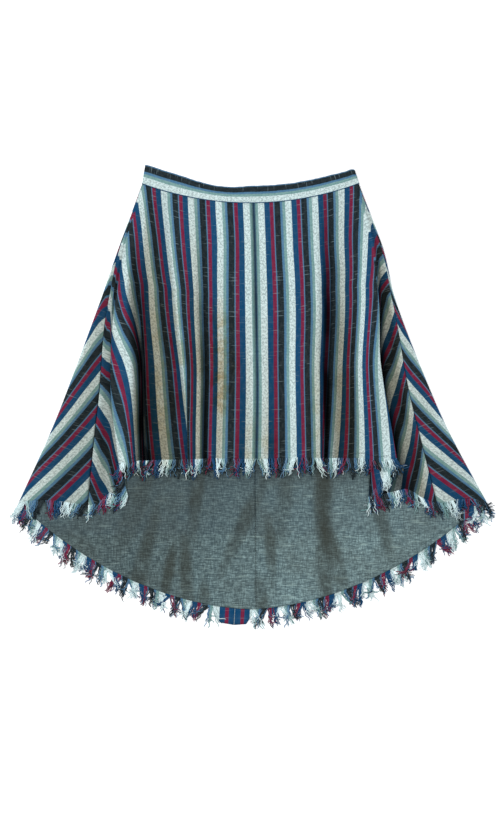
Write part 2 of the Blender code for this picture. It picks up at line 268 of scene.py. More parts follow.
class Finish:
    # a Principled material whose nodes are made one by one
    def __init__(self, name):
        self.material = bpy.data.materials.new(name)
        self.material.use_nodes = True
        self.tree = self.material.node_tree
        self.shader = self.tree.nodes["Principled BSDF"]

    def put(self, socket, value):
        if isinstance(value, Maths):
            self.tree.links.new(value.socket, socket)
        else:
            socket.default_value = value

    def node(self, kind, settings=None, values=None, out=0):
        made = self.tree.nodes.new(kind)
        for name, value in (settings or {}).items():
            if name == "stops":
                ramp = made.color_ramp
                while len(ramp.elements) < len(value):
                    ramp.elements.new(1.0)
                for element, (position, colour) in zip(ramp.elements, value):
                    element.position = position
                    element.color = (*colour, 1.0)
            else:
                setattr(made, name, value)
        for name, value in (values or {}).items():
            self.put(made.inputs[name], value)
        return Maths(self, made.outputs[out])

    def mix(self, factor, first, second, blend="MIX"):
        settings = {"data_type": "RGBA", "blend_type": blend}
        return self.node("ShaderNodeMix", settings, {0: factor, 6: first, 7: second}, 2)

    def over(self, factor, colour, laid):
        # a plain colour laid over another
        return self.mix(factor, colour, (*laid, 1.0))

    def tinted(self, factor, colour, tint):
        # a colour multiplied by a tint
        return self.mix(factor, colour, self.mix(1.0, colour, (*tint, 1.0), "MULTIPLY"))

    def position(self):
        return self.node("ShaderNodeTexCoord", None, None, 3)

    def split(self, vector):
        self.node("ShaderNodeSeparateXYZ", None, {0: vector})
        made = self.tree.nodes[-1]
        return [Maths(self, output) for output in made.outputs]

    def join(self, x, y, z=0.0):
        return self.node("ShaderNodeCombineXYZ", None, {0: x, 1: y, 2: z})

    def noise(self, vector, scale, detail=2.0, rough=0.5):
        values = {"Vector": vector, "Scale": scale, "Detail": detail, "Roughness": rough}
        return self.node("ShaderNodeTexNoise", {"noise_dimensions": "3D"}, values)

    def surface(self, colour, roughness, height, strength, distance):
        self.put(self.shader.inputs["Base Color"], colour)
        self.put(self.shader.inputs["Roughness"], roughness)
        self.shader.inputs["Specular IOR Level"].default_value = 0.0  # matt cotton has no shine
        values = {"Height": height, "Strength": strength, "Distance": distance}
        self.put(self.shader.inputs["Normal"], self.node("ShaderNodeBump", None, values))
        return self.material


def shade(red, green, blue):
    # a display colour from 0 to 255 as linear light
    def linear(value):
        return value / 12.92 if value <= 0.04045 else ((value + 0.055) / 1.055) ** 2.4
    return tuple(linear(value / 255) for value in (red, green, blue))


stripeColours = {
    "white": shade(202, 222, 222),
    "sage": shade(116, 154, 152),
    "sky": shade(76, 118, 150),
    "blue": shade(16, 68, 106),
    "crimson": shade(118, 28, 60),
    "black": shade(28, 37, 42),
}
# one repeat outward from the centre front, as the share where each stripe ends
stripeOrder = (
    ("sky", 0.048), ("sage", 0.155), ("white", 0.385), ("blue", 0.585), ("crimson", 0.715), ("sky", 0.755),
    ("black", 0.965), ("sky", 1.0),
)


def stripeStops(soft=0.006):
    stops, start = [], 0.0
    for name, end in stripeOrder:
        colour = stripeColours[name]
        stops += [(min(start + soft, 1.0), colour), (max(end - soft, 0.0), colour)]
        start = end
    return stops


clothLook = {
    "wobble": 0.010,  # how far stripe edges wander, in repeats
    "rib": 0.0026,  # one weft rib, metres
    "yarn": 0.0011,  # one warp yarn
    "roughness": 0.88,
    "bump": 0.55,
    "bumpHeight": 0.0006,
    # how heathered the cloth is at shares of a repeat: most on the white stripes, least on the dark ones
    "heather": ((0.0, 0.3), (0.05, 0.5), (0.155, 0.5), (0.17, 1.0), (0.375, 1.0), (0.39, 0.22), (1.0, 0.22)),
    "lightFleck": shade(236, 250, 248),
    "darkFleck": shade(66, 78, 80),
    "pick": shade(150, 172, 178),  # pale weft picks that cross the dark stripes
    "pickDepth": 0.42,
    # tan painted as warm shade beside the folds, and in one place a real stain
    "tanStainAndShade": (0.62, 0.49, 0.36),
    # painted shade laid into the bottoms of the folds
    "hollowShade": (0.015, 0.015, 0.018),
    "uneven": (0.62, 0.60, 0.55),  # where the dye took unevenly
    "unevenDepth": 0.20,
    # painted shade in the gaps between the weft ribs
    "ribGap": (0.01, 0.012, 0.014),
    "ribGapDepth": 0.16,
}
wovenLook = {"ribWobble": 0.006, "light": 0.30, "dark": 0.45}
frayedLook = {
    "ribWobble": 0.0,
    "light": 0.8,
    "dark": 0.2,
    "twist": (0.72, 0.72, 0.74),
    "bright": (1.9, 1.9, 1.9),  # loose cotton catches more light than the woven cloth
}
stainsAndShade = (  # brown tide marks (the first and fourth), then painted warm shade that tans the pale stripes beside the folds, in metres from the middle
    {"at": (-0.052, 0.060), "size": (0.045, 0.150), "tint": (0.80, 0.62, 0.42), "grain": 45.0, "depth": 0.9},
    {"at": (-0.140, 0.020), "size": (0.050, 0.280), "tint": (0.86, 0.74, 0.56), "grain": 22.0, "depth": 0.85},
    {"at": (-0.195, -0.060), "size": (0.030, 0.150), "tint": (0.84, 0.73, 0.56), "grain": 25.0, "depth": 0.7},
    {"at": (0.015, -0.080), "size": (0.060, 0.060), "tint": (0.88, 0.78, 0.62), "grain": 35.0, "depth": 0.6},
    {"at": (0.120, -0.040), "size": (0.045, 0.130), "tint": (0.88, 0.80, 0.64), "grain": 30.0, "depth": 0.55},
)


def stripedFinish(name, frayed=False):
    look = frayedLook if frayed else wovenLook
    cloth = Finish(name)
    repeat, down, _ = cloth.split(cloth.node("ShaderNodeUVMap", {"uv_map": "weave"}))
    across = repeat * cut["repeat"]
    wander = cloth.noise(cloth.join(across * 60, down * 22), 1.0, 3.0, 0.6) - 0.5
    ribs = (down * (2 * math.pi / clothLook["rib"])).sine()
    jagged = repeat + wander * clothLook["wobble"] + ribs * look["ribWobble"]
    phase = jagged.fraction()
    colour = cloth.node("ShaderNodeValToRGB", {"stops": stripeStops()}, {"Fac": phase})
    heather = [(share, (depth,) * 3) for share, depth in clothLook["heather"]]
    pale = cloth.node("ShaderNodeValToRGB", {"stops": heather}, {"Fac": phase})
    fleck = cloth.noise(cloth.join(across * 330, down * 260), 1.0, 2.0, 0.8).between(0.45, 0.58)
    mottle = cloth.noise(cloth.join(across * 240, down * 90), 1.0, 2.0, 0.6).between(0.35, 0.7)
    colour = cloth.over(mottle * pale * pale * look["light"], colour, clothLook["lightFleck"])
    colour = cloth.over(fleck * pale * look["dark"], colour, clothLook["darkFleck"])
    picks = cloth.noise(cloth.join(across * 40, down * 480), 1.0, 1.0, 0.5).between(0.62, 0.76)
    colour = cloth.over(picks * (1 - pale * 0.8) * clothLook["pickDepth"], colour, clothLook["pick"])
    # painted shade from the tone map: the hollows of the folds darkened, the cloth beside them tanned
    hollowShade, warm, _ = cloth.split(cloth.node("ShaderNodeUVMap", {"uv_map": "tone"}))
    colour = cloth.tinted(warm, colour, clothLook["tanStainAndShade"])
    colour = cloth.tinted(hollowShade, colour, clothLook["hollowShade"])
    position = cloth.position()
    patch = cloth.noise(position, 7.0, 3.0, 0.55).between(0.3, 0.75)
    colour = cloth.tinted(patch * clothLook["unevenDepth"], colour, clothLook["uneven"])
    x, y, _ = cloth.split(position)
    # real stains, and patches of painted warm shade beside the folds
    for tanPatch in stainsAndShade:
        dx = (x - tanPatch["at"][0]) / tanPatch["size"][0]
        dy = (y - tanPatch["at"][1]) / tanPatch["size"][1]
        near = 1 - (dx * dx + dy * dy).between(0.0, 1.0)
        ragged = cloth.noise(position, tanPatch["grain"], 4.0, 0.7).between(0.38, 0.66)
        colour = cloth.tinted(near * ragged * tanPatch["depth"], colour, tanPatch["tint"])
    crests = ribs.between(-1.0, 0.4) * clothLook["ribGapDepth"]
    if frayed:
        twisted = cloth.mix(1.0, colour, (*look["twist"], 1.0), "MULTIPLY")
        colour = cloth.mix(crests, twisted, colour)
        colour = cloth.tinted(0.5, colour, look["bright"])
    else:
        # painted shade in the gaps between the ribs
        colour = cloth.over(clothLook["ribGapDepth"] - crests, colour, clothLook["ribGap"])
    yarns = (across * (2 * math.pi / clothLook["yarn"])).sine()
    fluff = cloth.noise(cloth.join(across, down), 900.0, 2.0, 0.6)
    height = ribs * 0.30 + yarns * 0.22 + fluff * 0.6
    return cloth.surface(colour, clothLook["roughness"], height, clothLook["bump"], clothLook["bumpHeight"])


liningLook = {
    "base": shade(68, 83, 86),
    "pale": shade(124, 144, 144),
    "deep": shade(38, 48, 52),
    "slub": shade(142, 160, 154),
    "lit": (1.9, 1.95, 1.95),  # it is lighter to the right and towards the hem
    "toneLine": -0.236,  # a line across it, darker above
    "aboveLine": shade(60, 74, 82),
    "cloudy": shade(66, 68, 60),
    "shaded": shade(34, 40, 42),  # under the hem in front
    "hollowShade": shade(48, 48, 40),
    "hollowDepth": 1.1,
    "roughness": 0.85,
    "bump": 0.35,
    "bumpHeight": 0.0004,
}
liningFolds = (  # soft lengthwise folds, each a shaded hollow beside a low ridge
    {"at": (-0.093, -0.160), "lean": 0.10, "wide": 0.012, "long": 0.075, "depth": 0.50, "rise": 1.5},
    {"at": (-0.192, -0.300), "lean": 0.25, "wide": 0.014, "long": 0.110, "depth": 0.55, "rise": 1.8},
    {"at": (-0.143, -0.305), "lean": 0.18, "wide": 0.010, "long": 0.050, "depth": 0.60, "rise": 1.6},
    {"at": (-0.111, -0.315), "lean": -0.05, "wide": 0.011, "long": 0.075, "depth": 0.60, "rise": 1.8},
    {"at": (-0.080, -0.345), "lean": 0.00, "wide": 0.010, "long": 0.030, "depth": 0.45, "rise": 1.2},
    {"at": (-0.010, -0.215), "lean": 0.45, "wide": 0.014, "long": 0.085, "depth": 0.45, "rise": 1.4},
    {"at": (0.036, -0.265), "lean": -0.04, "wide": 0.010, "long": 0.060, "depth": 0.50, "rise": 1.4},
    {"at": (0.020, -0.345), "lean": -0.10, "wide": 0.012, "long": 0.040, "depth": 0.55, "rise": 1.6},
    {"at": (0.128, -0.170), "lean": 0.02, "wide": 0.016, "long": 0.090, "depth": 0.65, "rise": 2.2},
    {"at": (0.146, -0.270), "lean": -0.28, "wide": 0.014, "long": 0.075, "depth": 0.60, "rise": 2.0},
    {"at": (0.131, -0.300), "lean": -0.06, "wide": 0.014, "long": 0.060, "depth": 0.50, "rise": 1.6},
    {"at": (0.232, -0.215), "lean": -0.25, "wide": 0.012, "long": 0.070, "depth": 0.45, "rise": 1.6},
    {"at": (0.060, -0.180), "lean": 0.10, "wide": 0.014, "long": 0.060, "depth": 0.30, "rise": 1.0},
    {"at": (-0.200, -0.190), "lean": 0.35, "wide": 0.020, "long": 0.070, "depth": 0.40, "rise": 1.5},
)


def foldSides(fold, x, y):
    # how far a place lies to the side of a fold's middle line
    return x - fold["at"][0] - (y - fold["at"][1]) * fold["lean"]


def liningFinish():
    cloth = Finish("liningCotton")
    position = cloth.position()
    x, y, _ = cloth.split(position)
    weft = cloth.noise(cloth.join(x * 70, y * 430), 1.0, 3.0, 0.7).between(0.38, 0.64)
    warp = cloth.noise(cloth.join(x * 430, y * 70, 3.0), 1.0, 3.0, 0.7).between(0.38, 0.64)
    slub = cloth.noise(cloth.join(x * 22, y * 320, 7.0), 1.0, 1.0, 0.5).between(0.64, 0.74)
    grain = cloth.noise(position, 420.0, 2.0, 0.7).between(0.3, 0.7)
    cloudy = cloth.noise(position, 9.0, 4.0, 0.65).between(0.35, 0.68)
    colour = cloth.over(weft * 0.75, (*liningLook["base"], 1.0), liningLook["pale"])
    colour = cloth.over(warp * 0.6, colour, liningLook["deep"])
    colour = cloth.over(grain * 0.35, colour, liningLook["deep"])
    colour = cloth.over(slub * 0.35, colour, liningLook["slub"])
    lit = (x * 0.9 - y * 0.8).between(0.0, 0.42)
    colour = cloth.tinted(lit, colour, liningLook["lit"])
    above = y.between(liningLook["toneLine"] - 0.001, liningLook["toneLine"] + 0.002)
    colour = cloth.over(above * 0.24, colour, liningLook["aboveLine"])
    colour = cloth.over(cloudy * 0.3, colour, liningLook["cloudy"])
    shaded = y.between(-0.165, -0.115)
    colour = cloth.over(shaded * 0.45, colour, liningLook["shaded"])
    ragged = cloth.noise(position, 16.0, 3.0, 0.6).between(0.1, 0.6)
    for fold in liningFolds:
        side = foldSides(fold, x, y) / fold["wide"]
        length = (y - fold["at"][1]) / fold["long"]
        shadow = 1 - (side * side + length * length).between(0.0, 2.6)
        depth = shadow * shadow * ragged * fold["depth"] * liningLook["hollowDepth"]
        colour = cloth.over(depth, colour, liningLook["hollowShade"])
    height = weft * 0.5 + warp * 0.4
    bump = liningLook["bump"]
    return cloth.surface(colour, liningLook["roughness"], height, bump, liningLook["bumpHeight"])


def threadFinish(name, colour):
    thread = Finish(name)
    twist = thread.noise(thread.position(), 2500.0, 1.0, 0.5)
    pale = tuple(min(channel * 1.7 + 0.01, 1.0) for channel in colour)
    return thread.surface(thread.mix(twist, (*colour, 1.0), (*pale, 1.0)), 0.8, twist, 0.4, 0.0003)


stripedCotton = stripedFinish("stripedCotton")
yarnCotton = stripedFinish("yarnCotton", frayed=True)
liningCotton = liningFinish()
darkThread = threadFinish("darkThread", shade(24, 30, 36))
print("materials made")


# Pieces

def shell(name, points, weave, finish, thickness, tone=None):
    # a thin wall of cloth through a grid of points, each with its place in the weave and its tone
    down, across = points.shape[:2]
    shape = bmesh.new()
    bmesh.ops.create_grid(shape, x_segments=across - 1, y_segments=down - 1, size=0.5)
    uv = shape.loops.layers.uv.new("weave")
    toneUv = shape.loops.layers.uv.new("tone")
    tone = np.zeros_like(weave) if tone is None else tone
    index = {}
    for corner in shape.verts:
        index[corner] = (round((0.5 - corner.co.y) * (down - 1)), round((corner.co.x + 0.5) * (across - 1)))
    for corner, spot in index.items():
        corner.co = points[spot]
    for face in shape.faces:
        for loop in face.loops:
            loop[uv].uv = weave[index[loop.vert]]
            loop[toneUv].uv = tone[index[loop.vert]]
    mesh = bpy.data.meshes.new(name)
    shape.to_mesh(mesh)
    shape.free()
    piece = bpy.data.objects.new(name, mesh)
    bpy.context.scene.collection.objects.link(piece)
    wall = piece.modifiers.new("wall", "SOLIDIFY")
    wall.thickness, wall.offset = thickness, 0.0
    graph = bpy.context.evaluated_depsgraph_get()
    whole = bpy.data.meshes.new_from_object(piece.evaluated_get(graph))
    piece.modifiers.clear()
    piece.data = whole
    whole.name = name
    whole.materials.clear()
    whole.materials.append(finish)
    whole.shade_smooth()
    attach(piece, "root")
    return piece


def tubes(name, paths, weaves, radii, finish, sides=3):
    # many yarns as one mesh, each a tube that narrows at its tip
    count, steps = paths.shape[:2]
    forward = np.gradient(paths, axis=1)
    forward /= np.linalg.norm(forward, axis=2, keepdims=True) + 1e-12
    level = np.cross(forward, (0.0, 0.0, 1.0))
    level /= np.linalg.norm(level, axis=2, keepdims=True) + 1e-9
    upright = np.cross(level, forward)
    turn = np.arange(sides) * 2 * math.pi / sides + math.pi / 2
    ring = level[:, :, None] * np.cos(turn)[:, None] + upright[:, :, None] * np.sin(turn)[:, None]
    points = paths[:, :, None] + ring * radii[:, :, None, None]
    base = (np.arange(count) * steps * sides)[:, None, None]
    row = np.arange(steps - 1)[None, :, None] * sides
    one = np.arange(sides)[None, None]
    two = (one + 1) % sides
    above, below = base + row, base + row + sides
    quads = np.stack([above + one, above + two, below + two, below + one], -1)
    first = base[:, 0] + np.arange(sides)[::-1][None]
    last = base[:, 0] + (steps - 1) * sides + np.arange(sides)[None]
    faces = [*quads.reshape(-1, 4).tolist(), *first.tolist(), *last.tolist()]
    mesh = bpy.data.meshes.new(name)
    mesh.from_pydata(points.reshape(-1, 3).tolist(), [], faces)
    layer = mesh.uv_layers.new(name="weave")
    corners = np.zeros(len(mesh.loops), np.int64)
    mesh.loops.foreach_get("vertex_index", corners)
    spots = np.repeat(weaves.reshape(-1, 2), sides, axis=0)[corners]
    layer.data.foreach_set("uv", spots.astype(np.float32).reshape(-1))
    mesh.materials.append(finish)
    mesh.shade_smooth()
    piece = bpy.data.objects.new(name, mesh)
    bpy.context.scene.collection.objects.link(piece)
    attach(piece, "root")
    return piece


def places(panel, busy, plain):
    # line numbers to sample, closer together where the cloth folds
    steps = [busy] * panel.last
    for line in plain:
        steps[line] = plain[line]
    spots = [line + np.arange(count) / count for line, count in enumerate(steps)]
    return np.concatenate([*spots, [panel.last]])



ripple = {  # soft ripples of the cloth, heights in mm
    "height": 0.9,
    "across": 1.9,
    "along": 3.5,
    "fine": 0.35,
    "pucker": 0.35,  # gathers just below the waistband
    "sunk": 0.42,  # how far the cloth sinks at a seam
}


def frontRelief(panel, seed, edge):
    def relief(where, share, repeat):
        free = smooth(share, 0.0, 0.25) * (1 - 0.75 * smooth(where, edge - 1.0, edge))
        seams = smooth(where, 0.0, 0.25) * smooth(panel.last - where, 0.0, 0.6)
        long = lattice(repeat * ripple["across"], share * ripple["along"], seed) * ripple["height"]
        short = lattice(repeat * 4.1, share * 16.0, seed + 1) * ripple["fine"]
        pucker = lattice(repeat * 6.0, share * 9.0, seed + 2) * (1 - smooth(share, 0.0, 0.12))
        sunk = ripple["sunk"] * (1 - seams)
        return mm * (free * seams * (long + short) + ripple["pucker"] * pucker - sunk)
    return relief


def sideRelief(panel, seed):
    def relief(where, share, repeat):
        top = 1 - smooth(where, 1.2, 2.4)
        long = lattice(where * 2.5, share * 6.0, seed) + 0.4 * lattice(where * 6, share * 14, seed + 1)
        seam = 1 - smooth(where, 0.0, 0.25)
        return mm * top * smooth(share, 0.1, 0.4) * (0.6 * long * smooth(where, 0.0, 0.5) - 0.4 * seam)
    return relief


tongue = {  # cloth left unfrayed at the centre back
    "from": -2.8,  # its two edges, in degrees across the whole back
    "to": 0.15,
    "soft": 0.25,
    "reach": 0.022,
    "firstLine": 6,  # the lines past this one are near the centre back
    "firstShare": 0.94,  # the share of the length where its own stripes begin
    "turnAt": 0.65,  # its stripes turn back on themselves at the middle of the crimson one
}


def tongueReach(side):
    def extra(where, angle):
        laid = side * angle
        inside = smooth(laid, tongue["from"], tongue["from"] + tongue["soft"])
        inside = inside * (1 - smooth(laid, tongue["to"] - tongue["soft"], tongue["to"]))
        return tongue["reach"] * inside * (where > tongue["firstLine"])
    return extra


frontLeft = Panel(frontLeftLines, -1)
frontRight = Panel(frontRightLines, 1)
backLeft = Panel(backLines(sideLeftLines, -1), -1)
backRight = Panel(backLines(sideRightLines, 1), 1)
frontLeft.relief = frontRelief(frontLeft, 11, 11)
frontRight.relief = frontRelief(frontRight, 21, 7)
backLeft.relief = sideRelief(backLeft, 31)
backRight.relief = sideRelief(backRight, 41)
backLeft.extra = tongueReach(-1)
backRight.extra = tongueReach(1)

handOf = {-1: "left", 1: "right"}
cloths = {("front", -1): frontLeft, ("front", 1): frontRight, ("back", -1): backLeft, ("back", 1): backRight}
panelSettings = {
    "rows": 150,
    # columns from one line to the next: where the cloth folds and, by line, where it lies plain
    "folded": {("front", -1): 16, ("front", 1): 20, ("back", -1): 16, ("back", 1): 16},
    "plain": {
        ("front", -1): {0: 9, 1: 9},
        ("front", 1): {0: 13, 1: 13},
        ("back", -1): {4: 8, 5: 12, 6: 12, 7: 12, 8: 20},
        ("back", 1): {4: 8, 5: 12, 6: 12, 7: 12, 8: 20},
    },
}
sheetCuts = {  # width, length and area that each piece was cut to, in metres
    "front": (0.51, 0.575, 0.168),
    "back": (0.51, 0.72, 0.239),
    "lining": (0.44, 0.71, 0.215),
}


# Where each panel's folds lie: the line, how many lines wide, and how deep at the five stations. First the
# painted shade in its hollows, then the tan beside them, painted shade except for one real stain on the left
# front.
tones = {
    "front_left": (
        ((7.95, 0.92, (0.0, 0.05, 0.6, 1.0, 1.0)), (1.78, 0.26, (0.1, 0.2, 0.5, 0.8, 0.95)),
         (6.2, 0.9, (0.0, 0.1, 0.2, 0.3, 0.35)), (2.9, 0.3, (0.0, 0.0, 0.1, 0.2, 0.3)),
         (4.6, 0.7, (0.1, 0.3, 0.4, 0.45, 0.45)), (9.0, 0.45, (0.0, 0.0, 0.3, 0.6, 0.7)),
         (11.6, 0.35, (0.0, 0.1, 0.6, 0.55, 0.5)), (13.0, 1.6, (0.0, 0.0, 0.25, 0.34, 0.34)),
         (15.0, 0.05, (0.2, 0.5, 0.9, 0.8, 0.7)), (0.0, 0.02, (0.7, 0.7, 0.75, 0.7, 0.7))),
        ((6.4, 0.9, (0.1, 0.5, 0.85, 0.95, 0.95)), (2.2, 0.35, (0.1, 0.3, 0.6, 0.85, 0.9)),
         (1.05, 0.25, (0.0, 0.0, 0.2, 0.95, 0.7)), (8.7, 0.6, (0.0, 0.2, 0.6, 0.8, 0.8)),
         (0.35, 0.2, (0.0, 0.0, 0.0, 0.35, 0.6)), (13.0, 2.0, (0.0, 0.1, 0.3, 0.45, 0.5))),
    ),
    "front_right": (
        ((3.35, 0.42, (0.15, 0.45, 0.85, 1.0, 0.96)), (2.6, 0.3, (0.0, 0.1, 0.25, 0.4, 0.4)),
         (8.6, 0.75, (0.0, 0.3, 0.93, 0.93, 0.9)), (9.7, 0.7, (0.0, 0.1, 0.45, 0.45, 0.3)),
         (4.1, 0.3, (0.0, 0.1, 0.25, 0.4, 0.4)), (11.0, 0.04, (0.2, 0.5, 0.7, 0.6, 0.6)),
         (0.0, 0.02, (0.7, 0.7, 0.75, 0.7, 0.7))),
        ((4.45, 0.4, (0.1, 0.2, 0.45, 0.95, 0.95)), (2.0, 0.4, (0.0, 0.0, 0.1, 0.45, 0.6)),
         (0.4, 0.25, (0.0, 0.0, 0.0, 0.3, 0.6)), (9.9, 1.0, (0.0, 0.3, 0.8, 0.85, 0.7))),
    ),
    "back_left": (
        ((0.0, 0.05, (0.2, 0.5, 0.9, 0.8, 0.7)), (0.4, 0.8, (0.0, 0.2, 0.25, 0.15, 0.15))),
        ((0.8, 1.2, (0.0, 0.2, 0.45, 0.45, 0.4)),),
    ),
    "back_right": (
        ((0.0, 0.05, (0.2, 0.5, 0.7, 0.6, 0.6)),),
        ((0.8, 1.2, (0.0, 0.2, 0.3, 0.3, 0.3)),),
    ),
}


def toneOf(bands, shares, spots):
    # flat-topped bands of shade that run down the cloth
    total = np.zeros((len(shares), len(spots)))
    for line, width, depths in bands:
        depth = np.interp(shares, cut["stations"], depths)
        band = depth[:, None] * np.exp(-(((spots - line) / (width * 1.12)) ** 4))[None]
        total = 1 - (1 - total) * (1 - band)
    return total


def makePanel(name, panel, spots, flip):
    shares = np.linspace(0, 1, panelSettings["rows"])
    points, repeats, downs = panel.grid(shares, spots)
    phases = cut["backPhase"] - repeats if flip else repeats
    if flip:
        whole = np.floor(phases)
        turned = whole + tongue["turnAt"] - np.abs(phases - whole - tongue["turnAt"])
        middle = (whole == math.floor(cut["backPhase"])) & (shares[:, None] > tongue["firstShare"])
        phases = np.where(middle, turned, phases)
    weave = np.stack([phases, downs], axis=-1)
    hollows, warmths = tones[name]
    # the edges of each shade wander a little
    drift = 0.12 * lattice(shares[:, None] * 14, spots[None] * 1.5, 61)
    tone = np.stack([toneOf(hollows, shares, spots), toneOf(warmths, shares, spots)], axis=-1)
    tone = np.clip(tone * (1 + drift[..., None]), 0, 1)
    piece = shell(name + "_cloth", points, weave, stripedCotton, cut["cloth"], tone)
    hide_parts(name)
    return piece


for (kind, side), panel in cloths.items():
    spots = places(panel, panelSettings["folded"][kind, side], panelSettings["plain"][kind, side])
    makePanel(f"{kind}_{handOf[side]}", panel, spots, kind == "back")
print("panels made")


bandSettings = {
    "left": 20.0,
    "right": 20.25,
    "lean": (0.034, 0.004),  # how much further out the top edge reaches, left and right
    "frontHeight": 4.8,
    "backHeight": 1.0,
    "corner": 0.9,
    "rounding": (0.03, 0.12),
    "bow": ((-21.0, -17.0, -13.0, -10.0, -6.0, -3.0, 0.0, 8.0, 16.0, 18.5, 21.0),
            (4.5, 5.0, 4.0, 0.5, -3.0, -2.5, 0.5, 0.0, 0.0, -2.0, 0.0)),  # top edge above its arc, in mm
    "rows": 26,
    "columns": 220,
    "seamPhase": 0.415,  # the stripe at its seam, and how many repeats its height takes
    "stripes": 0.70,
}


def makeBand(name, top):
    # half of the waistband's flattened tube, from side fold to side fold
    left, right = bandSettings["left"], bandSettings["right"]
    middle = (bandSettings["frontHeight"] + bandSettings["backHeight"]) / 2
    turn = (bandSettings["frontHeight"] - bandSettings["backHeight"]) / 2
    lift = turn if top else -turn
    reach = math.degrees(turn * mm / cut["waistRadius"])
    curve = np.linspace(math.asin(0.22 * cut["gap"] / mm), math.pi / 2, 9)
    flat = np.linspace(-left + reach, right - reach, bandSettings["columns"])[1:-1]
    rounded = reach * (1 - np.cos(curve))
    angle = np.concatenate([-left + rounded, flat, right - rounded[::-1]])
    height = np.concatenate([middle + lift * np.sin(curve), np.full(len(flat), middle + lift),
                             middle + lift * np.sin(curve[::-1])])
    limit = np.where(angle < 0, left, right)
    corner = np.clip((np.abs(angle) - limit + bandSettings["corner"]) / bandSettings["corner"], 0, 1)
    bow = np.interp(angle, *bandSettings["bow"]) * mm + lattice(angle * 1.5, 2.0, 6) * 0.0003
    rounding = np.where(angle < 0, *bandSettings["rounding"]) * corner**2
    lean = np.where(angle < 0, *bandSettings["lean"])
    outer = cut["waistRadius"] - cut["bandHeight"] * (1 - rounding) - bow
    points, weave = [], []
    for share in np.linspace(0, 1, bandSettings["rows"]):
        radius = outer + share * (cut["waistRadius"] - cut["gap"] / 2 - outer)
        swell = 0.45 * math.sin(math.pi * share) * lattice(angle * 0.7, share * 1.5, 7)
        soft = top * (swell - 0.25 * (share > 0.97))
        edge = -0.35 * (1 - math.sin(math.pi * min(max(share, 0.04), 0.5))) * top
        points.append(place(1, angle * (1 + lean * (1 - share)), radius, (height + soft + edge) * mm))
        stripe = np.full(len(angle), bandSettings["seamPhase"] - (1 - share) * bandSettings["stripes"])
        weave.append(np.stack([stripe, np.radians(angle) * cut["waistRadius"]], axis=-1))
    piece = shell(name, np.array(points), np.array(weave), stripedCotton, cut["bandCloth"])
    return piece


for name, top in (("waistband_front", True), ("waistband_back", False)):
    piece = makeBand(name + "_cloth", top)
    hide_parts(name)
print("waistband made")


liningSettings = {
    "left": 18.9,
    "right": 18.3,
    "seam": 0.5,
    "height": 2.0,
    "short": 0.006,  # how far above the striped hem it ends
    "columns": 130,
    "rows": 150,
}


def liningRise(x, y):
    # height of the lining's folds above where it lies, in mm
    shown = smooth(-y, 0.115, 0.150)
    rise = np.zeros_like(x)
    for fold in liningFolds:
        length = (y - fold["at"][1]) / (1.5 * fold["long"])
        reach = np.clip(1 - length * length, 0, 1) ** 1.5
        side = foldSides(fold, x, y) + fold["wide"] * 1.1
        rise += fold["rise"] * reach * np.exp(-(side / (0.9 * fold["wide"])) ** 2)
    waves = 0.55 + 0.5 * lattice(x * 24, y * 9, 51) + 0.22 * lattice(x * 70, y * 30, 52)
    return shown * (rise + waves)


def liningPoints(side, angle, share):
    length = np.vectorize(backLength)(angle) - liningSettings["short"]
    radius = cut["waistRadius"] + cut["gap"] / 2 + share * (length - cut["gap"] / 2)
    flat = place(side, angle, radius, 0 * angle)
    rim = 1 - smooth(share, 0.955, 1.0)
    seam = 1 - 0.9 * np.exp(-((angle - side * liningSettings["seam"]) / 0.22) ** 2)
    rise = (0.25 + 0.75 * rim) * seam * liningRise(flat[..., 0], flat[..., 1])
    flat[..., 2] = mm * (liningSettings["height"] + rise)
    return flat


for side in (-1, 1):
    hand = handOf[side]
    start = side * liningSettings["seam"] + math.degrees(cut["gap"] / 2 / cut["waistRadius"])
    angle = np.linspace(start, liningSettings[hand], liningSettings["columns"])
    # rows crowd towards the hem, where the lining shows
    shares = np.linspace(0, 1, liningSettings["rows"]) ** 0.6
    points = np.array([liningPoints(side, angle, share) for share in shares])
    weave = points[..., :2].copy()
    piece = shell(f"lining_{hand}_cloth", points, weave, liningCotton, cut["liningCloth"])
    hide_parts(f"lining_{hand}")
print("lining made")


def measured(line):
    # distances along a line, and a function that gives its point at a distance
    walk = np.concatenate([[0], np.cumsum(np.linalg.norm(np.diff(line, axis=0), axis=1))])

    def pointAt(spot):
        return np.array([np.interp(spot, walk, line[:, axis]) for axis in range(3)])
    return walk, pointAt


# Fringe: the hem's own yarns, in clumps that curl a little

fringeLook = {
    "front": {
        "clump": (0.0055, 0.011),
        "spread": 9.0,
        "reach": 0.034,
        "rest": 4.4,
        "stack": 4.0,
        "curl": 0.0024,
    },
    "back": {
        "clump": (0.0065, 0.013),
        "spread": 17.0,
        "reach": 0.0335,
        "rest": 0.9,
        "stack": 5.5,
        "curl": 0.0026,
    },
    "onLining": 2.2,  # where a back yarn rests when it starts on the upper layer, mm
    "spacing": 0.0014,
    "layers": 2,
    "radius": 0.00088,
    "steps": 12,
    "tuck": 0.0015,  # how far each yarn starts inside the hem
    "crimp": 0.0013,
    "hooked": 0.55,  # share of yarns whose tips hook round
    "hook": (0.006, 0.009),  # how far a hooked tip goes sideways and back
    "strays": 0.035,  # how far yarns stray from their stripe, in repeats
    "lowest": 0.62,
    "samples": 4000,
}


